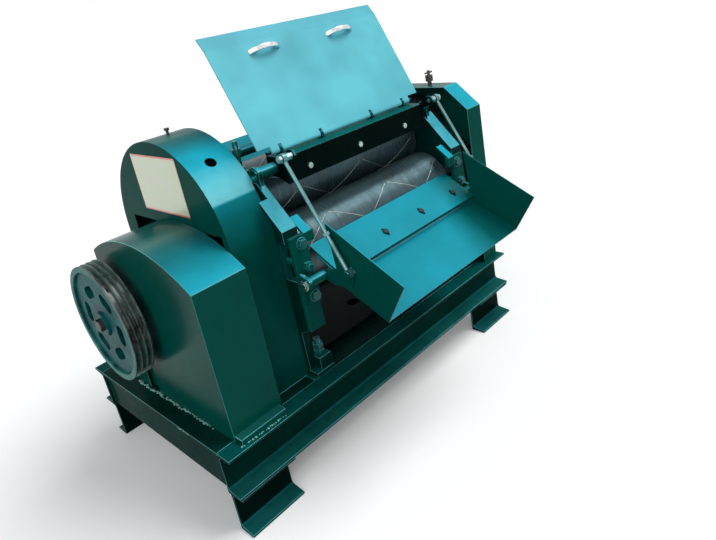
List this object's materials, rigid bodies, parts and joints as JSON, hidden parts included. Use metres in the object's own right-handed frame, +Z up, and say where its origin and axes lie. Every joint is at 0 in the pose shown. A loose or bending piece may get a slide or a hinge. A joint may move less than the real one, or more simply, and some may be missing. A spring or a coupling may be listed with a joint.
{
  "type": "sugarcane mill",
  "caption": "Belt-driven three-roller sugarcane juice mill on a channel base, with geared rollers under sheet covers, a swinging lid and a tilting discharge chute.",
  "frame": {"origin": "on the floor, under the middle of the whole machine's box", "axes": "+X along the rollers away from the drive pulley, +Y from the discharge side to the feed side, +Z up"},
  "size_m": [1.236, 1.033, 1.157],
  "materials": {
    "green_paint": "glossy teal-green enamel",
    "pale_green_paint": "glossy enamel",
    "dark_steel": "dark oiled steel",
    "roller_iron": "turned and grooved iron",
    "cast_pulley": "machined cast iron",
    "bronze": "bearing bronze",
    "zinc_steel": "zinc plated",
    "cream_plate": "bare printed plate",
    "brass": "turned brass",
    "pan_steel": "sheet stainless",
    "chrome": "bright chrome plate",
    "scraper_steel": "worn steel plate"
  },
  "bodies": {
    "frame": {"front_beam": "green_paint", "rear_beam": "green_paint", "feet": "green_paint", "end_channels": "green_paint", "cross_beams": "green_paint", "deck_plates": "green_paint", "left_housing": "green_paint", "right_housing": "green_paint", "front_bearings": "green_paint", "rear_bearings": "green_paint", "top_bearings": "green_paint", "outer_bearing_plate": "green_paint", "inner_bearing_plate": "green_paint", "flange_bearing": "green_paint", "small_gear_cover": "green_paint", "main_gear_cover": "green_paint", "roller_gear_cover": "green_paint", "front_tie_tube": "green_paint", "rear_tie_tube": "green_paint", "guard_angle": "green_paint", "feed_tray": "green_paint", "front_keepers": "dark_steel", "rear_keepers": "dark_steel", "top_caps": "dark_steel", "turn_plate": "dark_steel", "bearing_bushes": "bronze", "shaft_bushes": "bronze", "adjusting_screws": "zinc_steel", "cap_studs": "zinc_steel", "lock_nuts": "zinc_steel", "keeper_bolts": "zinc_steel", "housing_bolts": "zinc_steel", "guard_bolts": "zinc_steel", "pivot_bolts": "zinc_steel", "label_plate": "cream_plate", "cover_oiler": "brass", "oil_cup": "brass", "guard_plate": "dark_steel", "juice_pan": "pan_steel", "drain_pipe": "pan_steel"},
    "top_roller_set": {"top_roller": "roller_iron", "main_gear": "dark_steel", "top_roller_gear": "dark_steel"},
    "front_roller_set": {"front_roller": "roller_iron", "front_roller_gear": "dark_steel"},
    "rear_roller_set": {"rear_roller": "roller_iron", "rear_roller_gear": "dark_steel"},
    "intermediate_set": {"intermediate_shaft": "dark_steel", "first_gear": "dark_steel"},
    "input_set": {"input_shaft": "dark_steel", "drive_pulley": "cast_pulley"},
    "lid_set": {"lid": "pale_green_paint", "lid_handles": "chrome"},
    "chute_set": {"discharge_chute": "green_paint", "scraper_plate": "scraper_steel", "scraper_bolts": "zinc_steel"},
    "left_stay": {"left_stay_rod": "dark_steel"},
    "right_stay": {"right_stay_rod": "dark_steel"},
    "left_sleeve": {"left_stay_sleeve": "dark_steel"},
    "right_sleeve": {"right_stay_sleeve": "dark_steel"}
  },
  "joints": [
    {"name": "top_roller_spin", "type": "hinge", "parent": "frame", "child": "top_roller_set", "pos_m": [0.0985, 0.0245, 0.726], "axis": [1, 0, 0], "continuous": true},
    {"name": "front_roller_spin", "type": "hinge", "parent": "frame", "child": "front_roller_set", "pos_m": [0.0985, -0.1035, 0.583], "axis": [1, 0, 0], "continuous": true},
    {"name": "rear_roller_spin", "type": "hinge", "parent": "frame", "child": "rear_roller_set", "pos_m": [0.0985, 0.1525, 0.583], "axis": [1, 0, 0], "continuous": true},
    {"name": "intermediate_spin", "type": "hinge", "parent": "frame", "child": "intermediate_set", "pos_m": [0.0985, 0.0307, 0.54861], "axis": [1, 0, 0], "continuous": true},
    {"name": "input_spin", "type": "hinge", "parent": "frame", "child": "input_set", "pos_m": [0.0985, 0.2018, 0.49955], "axis": [1, 0, 0], "continuous": true},
    {"name": "lid_hinge", "type": "hinge", "parent": "frame", "child": "lid_set", "pos_m": [0.1025, -0.1055, 0.857], "axis": [-1, 0, 0], "range_deg": [-15, 60]},
    {"name": "chute_tilt", "type": "hinge", "parent": "frame", "child": "chute_set", "pos_m": [0.0985, -0.2445, 0.547], "axis": [-1, 0, 0], "range_deg": [-4, 3]},
    {"name": "left_stay_swing", "type": "hinge", "parent": "frame", "child": "left_stay", "pos_m": [-0.207, -0.1945, 0.857], "axis": [-1, 0, 0], "range_deg": [-1, 1]},
    {"name": "right_stay_swing", "type": "hinge", "parent": "frame", "child": "right_stay", "pos_m": [0.404, -0.1945, 0.857], "axis": [-1, 0, 0], "range_deg": [-1, 1]},
    {"name": "left_stay_slide", "type": "slide", "parent": "left_stay", "child": "left_sleeve", "axis": [0, -0.4901, -0.8717], "range_m": [-0.01, 0.01]},
    {"name": "right_stay_slide", "type": "slide", "parent": "right_stay", "child": "right_sleeve", "axis": [0, -0.4901, -0.8717], "range_m": [-0.01, 0.01]}
  ],
  "couplings": [
    {"joint": "left_stay_swing", "follows": "chute_tilt", "ratio": 0.08578},
    {"joint": "right_stay_swing", "follows": "chute_tilt", "ratio": 0.08578},
    {"joint": "front_roller_spin", "follows": "top_roller_spin", "ratio": -1},
    {"joint": "rear_roller_spin", "follows": "top_roller_spin", "ratio": -1},
    {"joint": "intermediate_spin", "follows": "top_roller_spin", "ratio": -3.1765},
    {"joint": "input_spin", "follows": "top_roller_spin", "ratio": 13.453},
    {"joint": "left_stay_slide", "follows": "chute_tilt", "m_per_rad": -0.10835},
    {"joint": "right_stay_slide", "follows": "chute_tilt", "m_per_rad": -0.10835}
  ]
}
